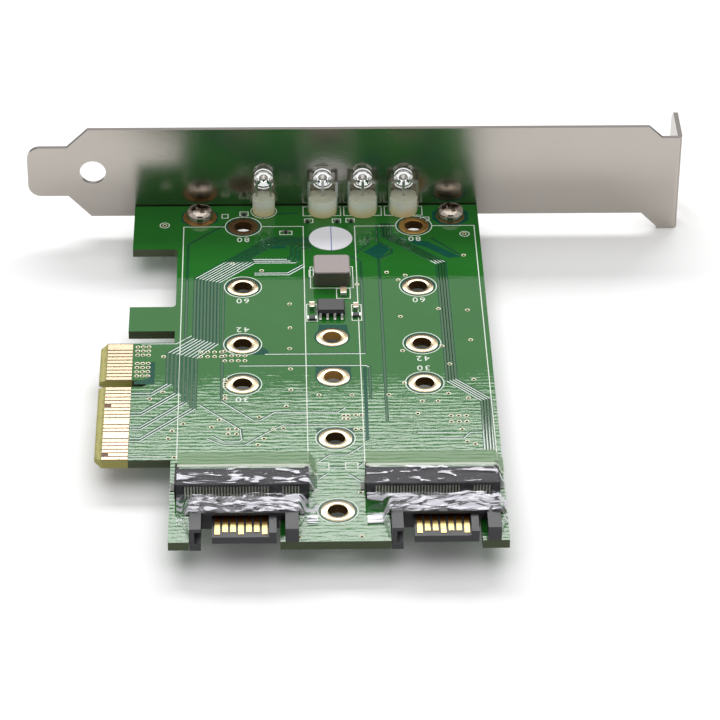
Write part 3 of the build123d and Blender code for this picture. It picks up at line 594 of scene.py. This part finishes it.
# Drive sockets and data ports: black glass-filled nylon, moulded. The ports are satin with faint flow marks,
# the heatproof sockets matt. Their contacts are gold plated, pale on the tails and deep yellow in the ports.
moulding, tree, shader = new_finish("satin_black_moulded_nylon", {"IOR": 1.53})
place = add(tree, "ShaderNodeTexCoord").outputs["Object"]
flow = add(tree, "ShaderNodeTexNoise",
           {"Vector": place, "Scale": 1 / (3 * MM), "Detail": 4.0}).outputs["Fac"]
grit = add(tree, "ShaderNodeTexNoise",
           {"Vector": place, "Scale": 1 / (0.12 * MM), "Detail": 2.0}).outputs["Fac"]
tone = add(tree, "ShaderNodeMix", {0: flow, 6: linear("#222225"), 7: linear("#303034")},
           data_type="RGBA").outputs[2]
tree.links.new(tone, shader.inputs["Base Color"])
rough = add(tree, "ShaderNodeMapRange", {"Value": flow, "To Min": 0.42, "To Max": 0.58}).outputs[0]
tree.links.new(rough, shader.inputs["Roughness"])
bump = add(tree, "ShaderNodeBump", {"Strength": 0.4, "Distance": 0.008 * MM, "Height": grit}).outputs[0]
tree.links.new(bump, shader.inputs["Normal"])
sockets = ("ssd_socket_left", "ssd_socket_right", "ssd_socket_back")
ports = ("data_port_left", "data_port_right")
dress(moulding, *[name + "_housing" for name in ports])
heatproof = mottled("matt_black_heatproof_moulding", {"IOR": 1.5, "Specular IOR Level": 0.25},
                    grain=2, detail=5.0, tones=("#161618", "#242427"), rough=(0.5, 0.7), relief=(0.4, 0.01))
dress(heatproof, *[name + "_housing" for name in sockets])
tail = mottled("pale_gold_contact_tails", {"Metallic": 0.35, "IOR": 1.5},
               grain=0.4, detail=3.0, tones=("#e6dfca", "#fffaf0"), rough=(0.3, 0.45))
dress(tail, *[name + "_contacts" for name in sockets])
# The springs in the ports are painted brown behind their mating length: a painted shadow of the port's rear
# block.
spring, tree, shader = new_finish("yellow_flash_gold", {"Metallic": 1.0})
place = add(tree, "ShaderNodeTexCoord").outputs["Object"]
rear_painted_shadow = add(tree, "ShaderNodeMapRange", {"Value": add(tree, "ShaderNodeSeparateXYZ", {0: place}).outputs[1],
                                        "From Min": -41.6 * MM, "From Max": -40.4 * MM}).outputs[0]
rubs = add(tree, "ShaderNodeTexNoise",
           {"Vector": place, "Scale": 1 / (0.3 * MM), "Detail": 3.0}).outputs["Fac"]
fresh = add(tree, "ShaderNodeMix", {0: rubs, 6: linear("#d3b56a"), 7: linear("#eedca4")},
            data_type="RGBA").outputs[2]
tone = add(tree, "ShaderNodeMix", {0: rear_painted_shadow, 6: fresh, 7: linear("#6e430f")}, data_type="RGBA").outputs[2]
tree.links.new(tone, shader.inputs["Base Color"])
rough = add(tree, "ShaderNodeMapRange", {"Value": rubs, "To Min": 0.42, "To Max": 0.55}).outputs[0]
tree.links.new(rough, shader.inputs["Roughness"])
dress(spring, *[name + "_contacts" for name in ports])

# Chip leads, lamp leads and the ends of the small parts: tinned, a soft silver with slow clouding. The solder
# on the sockets' tabs has set dull and dark grey.
tin = mottled("semi_bright_tin", {"Metallic": 1.0},
              grain=0.7, detail=4.0, tones=("#b5b4b2", "#dcdbd8"), rough=(0.22, 0.42), relief=(0.4, 0.01))
lamps = ("lamp_1", "lamp_2", "lamp_3", "lamp_4")
dress(tin, "inductor_terminals", "regulator_leads", "capacitor_ends", "resistor_ends",
      *[name + "_leads" for name in lamps])
dull = mottled("dull_reflowed_solder", {"Metallic": 0.7},
               grain=0.6, detail=4.0, tones=("#4c4c4a", "#7b7b77"), rough=(0.45, 0.65))
dress(dull, *[name + "_tabs" for name in sockets + ports])

# Indicator lamps: water-clear epoxy heads, which bend what is behind them, on milky nylon spacer posts, which
# glow through and turn warm at the foot. A stamped, silvered cup shines inside each head.
clear = mottled("water_clear_epoxy", {"IOR": 1.5, "Transmission Weight": 1.0, "Roughness": 0.05},
                grain=1.2, detail=3.0, tones=("#e6e9e8", "#fbfcfc"))
dress(clear, *[name + "_lens" for name in lamps])
milky, tree, shader = new_finish("milky_moulded_nylon", {
    "IOR": 1.53, "Roughness": 0.4, "Subsurface Weight": 0.8, "Subsurface Radius": (0.0026, 0.0023, 0.0017)})
place = add(tree, "ShaderNodeTexCoord").outputs["Object"]
height = add(tree, "ShaderNodeSeparateXYZ", {0: place}).outputs[2]
warm = add(tree, "ShaderNodeMapRange", {"Value": height, "From Min": 0.0, "From Max": 2.2 * MM}).outputs[0]
body_tone = add(tree, "ShaderNodeMix", {0: warm, 6: linear("#eed9a2"), 7: linear("#f8f8e9")},
                data_type="RGBA").outputs[2]
milk = add(tree, "ShaderNodeTexNoise",
           {"Vector": place, "Scale": 1 / (1.2 * MM), "Detail": 4.0}).outputs["Fac"]
# The posts' flat tops are painted darker and greyer than their sides: painted shade.
shaded_top_tone = add(tree, "ShaderNodeMix", {0: milk, 6: linear("#a9ab94"), 7: linear("#c3c5b0")},
              data_type="RGBA").outputs[2]
normal = add(tree, "ShaderNodeNewGeometry").outputs["Normal"]
upward = add(tree, "ShaderNodeSeparateXYZ", {0: normal}).outputs[2]
end_face = add(tree, "ShaderNodeMath", {0: upward, 1: 0.7}, operation="GREATER_THAN").outputs[0]
tone = add(tree, "ShaderNodeMix", {0: end_face, 6: body_tone, 7: shaded_top_tone}, data_type="RGBA").outputs[2]
tree.links.new(tone, shader.inputs["Base Color"])
dress(milky, *[name + "_spacer" for name in lamps])

cup = mottled("stamped_silvered_cup", {"Metallic": 1.0},
              grain=0.3, detail=3.0, tones=("#bdbbb8", "#eceae6"), rough=(0.15, 0.35))
bpy.ops.mesh.primitive_cone_add(vertices=24, radius1=0.3 * MM, radius2=0.85 * MM, depth=0.9 * MM,
                                location=(0, 56.6 * MM, 6.15 * MM), rotation=(-math.pi / 2, 0, 0))
first_cup = bpy.context.object
bpy.ops.object.transform_apply(location=True, rotation=True)
select_where(first_cup, lambda middle, normal: normal.y > 0.9)
bpy.ops.mesh.inset(thickness=0.12 * MM)
bpy.ops.transform.translate(value=(0, -0.35 * MM, 0))
bpy.ops.transform.resize(value=(0.6, 1, 0.6))
select_where(first_cup, lambda middle, normal: normal.y < -0.9)
bpy.ops.mesh.extrude_region_move(TRANSFORM_OT_translate={"value": (0, -0.5 * MM, 0)})
bpy.ops.object.mode_set(mode="OBJECT")
lamp_columns = (28.3, 39.15, 46.5, 54.0)
cups = copies(first_cup, [(x, 0, 0) for x in lamp_columns], "lamp_cups")
settle(cups, "lamp_cups", cup)

# Power inductor: a coil pressed into a block of iron powder with rounded edges, soldered at its two ends. Its
# skin is speckled and matt, pale grey on top and darker round the sides.
ferrite, tree, shader = new_finish("pressed_iron_powder", {"IOR": 1.6})
place = add(tree, "ShaderNodeTexCoord").outputs["Object"]
specks = add(tree, "ShaderNodeTexNoise",
             {"Vector": place, "Scale": 1 / (0.35 * MM), "Detail": 5.0}).outputs["Fac"]
normal = add(tree, "ShaderNodeNewGeometry").outputs["Normal"]
upward = add(tree, "ShaderNodeSeparateXYZ", {0: normal}).outputs[2]
top_tone = add(tree, "ShaderNodeMix", {0: specks, 6: linear("#7c7170"), 7: linear("#9a8e8c")},
               data_type="RGBA").outputs[2]
side_tone = add(tree, "ShaderNodeMix", {0: specks, 6: linear("#2b2a22"), 7: linear("#5d5a4a")},
                data_type="RGBA").outputs[2]
tone = add(tree, "ShaderNodeMix", {0: upward, 6: side_tone, 7: top_tone}, data_type="RGBA").outputs[2]
tree.links.new(tone, shader.inputs["Base Color"])
rough = add(tree, "ShaderNodeMapRange", {"Value": specks, "To Min": 0.45, "To Max": 0.7}).outputs[0]
tree.links.new(rough, shader.inputs["Roughness"])
bump = add(tree, "ShaderNodeBump", {"Strength": 0.5, "Distance": 0.01 * MM, "Height": specks}).outputs[0]
tree.links.new(bump, shader.inputs["Normal"])
dress(ferrite, "inductor_body")

# Regulator chip and resistors: black moulding compound, moulded round the leads of the chip, fine-grained and
# matt. All are soldered to the board.
compound = mottled("black_moulding_compound", {"IOR": 1.55},
                   grain=0.15, detail=3.0, tones=("#161618", "#262629"),
                   rough=(0.5, 0.68), relief=(0.5, 0.008))
dress(compound, "regulator_chip", "resistor_bodies")

# Ceramic capacitors: small blocks of fired tan ceramic, slightly waxy, soldered to the board by their tinned
# ends.
ceramic = mottled("fired_tan_ceramic", {"IOR": 1.6},
                  grain=0.3, detail=3.0, tones=("#a58a68", "#bda582"), rough=(0.35, 0.5))
dress(ceramic, "capacitor_bodies")

# Check sticker: a round of coated white paper, stuck to the mask, with a weak shine and one thin printed blue
# line.
paper, tree, shader = new_finish("coated_white_paper", {"IOR": 1.5, "Roughness": 0.45})
place = add(tree, "ShaderNodeTexCoord").outputs["Object"]
across = add(tree, "ShaderNodeSeparateXYZ", {0: place}).outputs[0]
line_place, line_half = 40.55, 0.09
away = add(tree, "ShaderNodeMath", {0: across, 1: line_place * MM}, operation="SUBTRACT").outputs[0]
distance = add(tree, "ShaderNodeMath", {0: away}, operation="ABSOLUTE").outputs[0]
line = add(tree, "ShaderNodeMath", {0: distance, 1: line_half * MM}, operation="LESS_THAN").outputs[0]
fibres = add(tree, "ShaderNodeTexNoise",
             {"Vector": place, "Scale": 1 / (0.4 * MM), "Detail": 4.0}).outputs["Fac"]
plain = add(tree, "ShaderNodeMix", {0: fibres, 6: linear("#dcdce2"), 7: linear("#ececf0")},
            data_type="RGBA").outputs[2]
tone = add(tree, "ShaderNodeMix", {0: line, 6: plain, 7: linear("#6c74b4")}, data_type="RGBA").outputs[2]
tree.links.new(tone, shader.inputs["Base Color"])
dress(paper, "check_sticker")

# Clear films: a soft glossy sheet lies crumpled over each drive socket and its data port. Streaks along its
# creases are painted near-white and partly opaque, as painted highlights of the soft light, and the rest is
# clear and shines.
film, tree, shader = new_finish("clear_creased_film", {"IOR": 1.5})


def between(tree, value, low, high, soft):
    """One inside a stretch of the board in millimetres, falling to nothing over soft at both ends."""
    start = add(tree, "ShaderNodeMapRange", {"Value": value, "From Min": (low - soft) * MM,
                                             "From Max": low * MM}).outputs[0]
    stop = add(tree, "ShaderNodeMapRange", {"Value": value, "From Min": high * MM,
                                            "From Max": (high + soft) * MM,
                                            "To Min": 1.0, "To Max": 0.0}).outputs[0]
    return add(tree, "ShaderNodeMath", {0: start, 1: stop}, operation="MULTIPLY").outputs[0]


place = add(tree, "ShaderNodeTexCoord").outputs["Object"]
along = add(tree, "ShaderNodeSeparateXYZ", {0: place}).outputs[1]
drawn = add(tree, "ShaderNodeMapping", {"Vector": place, "Scale": (0.3, 1.0, 0.2)}).outputs[0]
creases = add(tree, "ShaderNodeTexNoise", {"Vector": drawn, "Scale": 1 / (1.5 * MM), "Detail": 2.5,
                                           "Distortion": 0.9}).outputs["Fac"]
folds = add(tree, "ShaderNodeTexNoise", {"Vector": drawn, "Scale": 1 / (3.2 * MM), "Detail": 2.0,
                                         "Distortion": 1.6}).outputs["Fac"]
# The streaks where the film turns opaque and white are painted highlights.
painted_glint_streaks = add(tree, "ShaderNodeMapRange", {"Value": creases, "From Min": 0.565, "From Max": 0.61,
                                            "To Min": 0.05, "To Max": 0.9}).outputs[0]
centred = add(tree, "ShaderNodeMath", {0: folds, 1: 0.5}, operation="SUBTRACT").outputs[0]
off_fold = add(tree, "ShaderNodeMath", {0: centred}, operation="ABSOLUTE").outputs[0]
crease_line = add(tree, "ShaderNodeMapRange", {"Value": off_fold, "From Min": 0.014, "From Max": 0.05,
                                               "To Min": 0.08, "To Max": 0.9}).outputs[0]
dimple = add(tree, "ShaderNodeMapRange", {"Value": creases, "From Min": 0.44, "From Max": 0.5, "To Min": 0.12,
                                          "To Max": 1.0}).outputs[0]
painted_fold_streaks = add(tree, "ShaderNodeMath", {0: crease_line, 1: dimple}, operation="MULTIPLY").outputs[0]
# From the back to the front: the flap on the board, the film's bright edge, the socket's comb, the port.
flap = between(tree, along, -28.2, -20.0, 0.2)
edge_line = between(tree, along, -28.5, -27.9, 0.15)
comb = between(tree, along, -34.7, -33.1, 0.15)
behind = between(tree, along, -45.0, -34.8, 0.2)
see = add(tree, "ShaderNodeMix", {0: behind, 2: painted_glint_streaks, 3: painted_fold_streaks}).outputs[0]
see = add(tree, "ShaderNodeMix", {0: comb, 2: see, 3: 0.04}).outputs[0]
see = add(tree, "ShaderNodeMix", {0: flap, 2: see, 3: 0.7}).outputs[0]
tree.links.new(add(tree, "ShaderNodeMix", {0: edge_line, 2: see, 3: 0.85}).outputs[0], shader.inputs["Alpha"])
# Near-white colour of the painted highlights on the creases.
painted_highlight_tone = add(tree, "ShaderNodeMix", {0: creases, 6: linear("#c9c6d2"), 7: linear("#eceaf2")},
               data_type="RGBA").outputs[2]
flap_tone = add(tree, "ShaderNodeMix", {0: folds, 6: linear("#47713f"), 7: linear("#5f7f4c")},
                data_type="RGBA").outputs[2]
tone = add(tree, "ShaderNodeMix", {0: flap, 6: painted_highlight_tone, 7: flap_tone}, data_type="RGBA").outputs[2]
tone = add(tree, "ShaderNodeMix", {0: edge_line, 6: tone, 7: linear("#b9bfae")}, data_type="RGBA").outputs[2]
tree.links.new(tone, shader.inputs["Base Color"])
rough = add(tree, "ShaderNodeMix", {0: flap, 2: 0.12, 3: 0.5}).outputs[0]
tree.links.new(rough, shader.inputs["Roughness"])
bump = add(tree, "ShaderNodeBump", {"Strength": 0.5, "Distance": 0.05 * MM, "Height": creases}).outputs[0]
tree.links.new(bump, shader.inputs["Normal"])
# The line in which a film rests, as places along the board with their heights.
film_line = ((-23.8, 2.75), (-28.78, 3.26), (-33.2, 3.26), (-34.7, 2.2), (-35.6, 2.58), (-39.9, 2.58))


def ease(value):
    """A smooth step from nothing to one."""
    value = min(max(value, 0.0), 1.0)
    return value * value * (3 - 2 * value)


def film_height(y):
    """Height of the film's resting line at a place along the board."""
    for (y0, z0), (y1, z1) in zip(film_line, film_line[1:]):
        if y0 >= y >= y1:
            return z0 + (z1 - z0) * ease((y0 - y) / (y0 - y1))
    return film_line[-1][1]


# A film lies flat on the socket's top, looser over its front and loosest over the port, and droops past them.
film_middle, film_reach = -31.75, 16.3
socket_top, socket_front, socket_half = -28.8, -33.2, 9.9
port_back = -34.6
for name, x, wide, port, seed in (("crumpled_film_left", 25.45, 23.0, (16.0, 33.9), 3.1),
                                  ("crumpled_film_right", 56.3, 22.8, (48.6, 66.5), 8.7)):
    bpy.ops.mesh.primitive_grid_add(x_subdivisions=130, y_subdivisions=100, size=1, location=(0, 0, 0))
    sheet = bpy.context.object
    for vertex in sheet.data.vertices:
        across = vertex.co.x * wide
        along = film_middle + vertex.co.y * film_reach
        spot = Vector((across * 0.16, along * 0.55, seed))
        fold = 0.5 - abs(noise.noise(spot)) - 0.6 * abs(noise.noise(spot * 2.1 + Vector((7, 3, 1))))
        fold += 0.2 * noise.noise(spot * 4.3)
        loose = 0.04 if along > socket_top else 0.3 if along > socket_front else 0.75
        lift = 0.1 + loose * max(fold + 0.1, -0.1)
        high = (film_height(along) + lift) * (1 - 0.6 * ease((across - socket_half) / 1.4))
        outside = min(max(port[0] - x - across, x + across - port[1], 0.0) / 1.2, 1.0)
        droop = ease(outside * min(max((port_back - along) / 2.5, 0.0), 1.0))
        vertex.co = ((x + across) * MM, along * MM, (high * (1 - droop) + 0.3 * droop) * MM)
    settle(sheet, name, film)
    bpy.ops.object.shade_smooth()
    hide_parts(name.replace("crumpled", "clear"))

# Floor: painted plain white and matt, no part of the card. It glows a little for the camera alone, so that it
# stays white and still keeps the shadow.
def seen_rays(tree):
    """One for the camera's rays, also off a mirror or through something clear, and nothing for the rest."""
    rays = add(tree, "ShaderNodeLightPath").outputs
    direct = add(tree, "ShaderNodeMath", {0: rays["Is Camera Ray"], 1: rays["Is Glossy Ray"]},
                 operation="MAXIMUM").outputs[0]
    return add(tree, "ShaderNodeMath", {0: direct, 1: rays["Is Transmission Ray"]},
               operation="MAXIMUM").outputs[0]


card_middle = 0.04
floor_paint, tree, shader = new_finish("matt_white_floor", {"Base Color": linear("#f6f6f6"), "Roughness": 0.9,
                                                            "Specular IOR Level": 0.0})
glow = add(tree, "ShaderNodeMath", {0: seen_rays(tree), 1: 0.05}, operation="MULTIPLY").outputs[0]
shader.inputs["Emission Color"].default_value = (1, 1, 1, 1)
tree.links.new(glow, shader.inputs["Emission Strength"])
bpy.ops.mesh.primitive_plane_add(size=6.0, location=(card_middle, 0.0, -5.65 * MM))
floor = bpy.context.object
floor.name = "floor"
floor.data.materials.append(floor_paint)

# Flag: black cloth behind the camera, soft and dull, seen only in reflections. It keeps the board dark in the
# bracket's mirror.
felt = mottled("black_felt", {"Roughness": 0.95, "Specular IOR Level": 0.1},
               grain=6, detail=4.0, tones=("#4a4a4c", "#5c5c5e"))
bpy.ops.mesh.primitive_plane_add(size=1.0, location=(card_middle, -1.0, 0.66), rotation=(math.pi / 2, 0, 0),
                                 scale=(1.8, 0.8, 1.0))
flag = bpy.context.object
flag.name = "flag"
flag.data.materials.append(felt)
flag.visible_camera = False
flag.visible_diffuse = False
flag.visible_shadow = False

# Light: one wide soft box behind and above the card, whose lower edge ends where the mask stops glaring, a
# soft ceiling over it, and a plain white surround.
bpy.ops.object.light_add(type="AREA", location=(card_middle, 0.547, 0.528))
softbox = bpy.context.object
softbox.name = "softbox"
softbox.data.shape = "RECTANGLE"
softbox.data.size = 0.9
softbox.data.size_y = 0.2
softbox.data.energy = 4.2
aim = Vector((card_middle, 0.0, 0.0)) - softbox.location
softbox.rotation_euler = aim.to_track_quat("-Z", "Y").to_euler()
bpy.ops.object.light_add(type="AREA", location=(card_middle, -0.1, 1.1))
ceiling = bpy.context.object
ceiling.name = "ceiling"
ceiling.data.size = 1.4
ceiling.data.energy = 6.4
world = bpy.data.worlds.new("white_surround")
bpy.context.scene.world = world
world.use_nodes = True
tree = world.node_tree
strength = add(tree, "ShaderNodeMix", {0: seen_rays(tree), 2: 0.4, 3: 1.0}).outputs[0]
tree.nodes["Background"].inputs["Color"].default_value = (1, 1, 1, 1)
tree.links.new(strength, tree.nodes["Background"].inputs["Strength"])
bpy.context.scene.view_settings.view_transform = "Standard"

# Camera: where the photograph was taken from, above the front edge and a little to the left, by the card's
# standard sizes.
bpy.ops.object.camera_add(location=(29.5946 * MM, -480.3299 * MM, 338.0987 * MM),
                          rotation=[math.radians(a) for a in (55.23733, -0.50294, -1.44334)])
camera = bpy.context.object
camera.data.sensor_width = 36.0
camera.data.lens = 171.575
camera.data.clip_start = 0.01
camera.data.clip_end = 20.0
bpy.context.scene.camera = camera
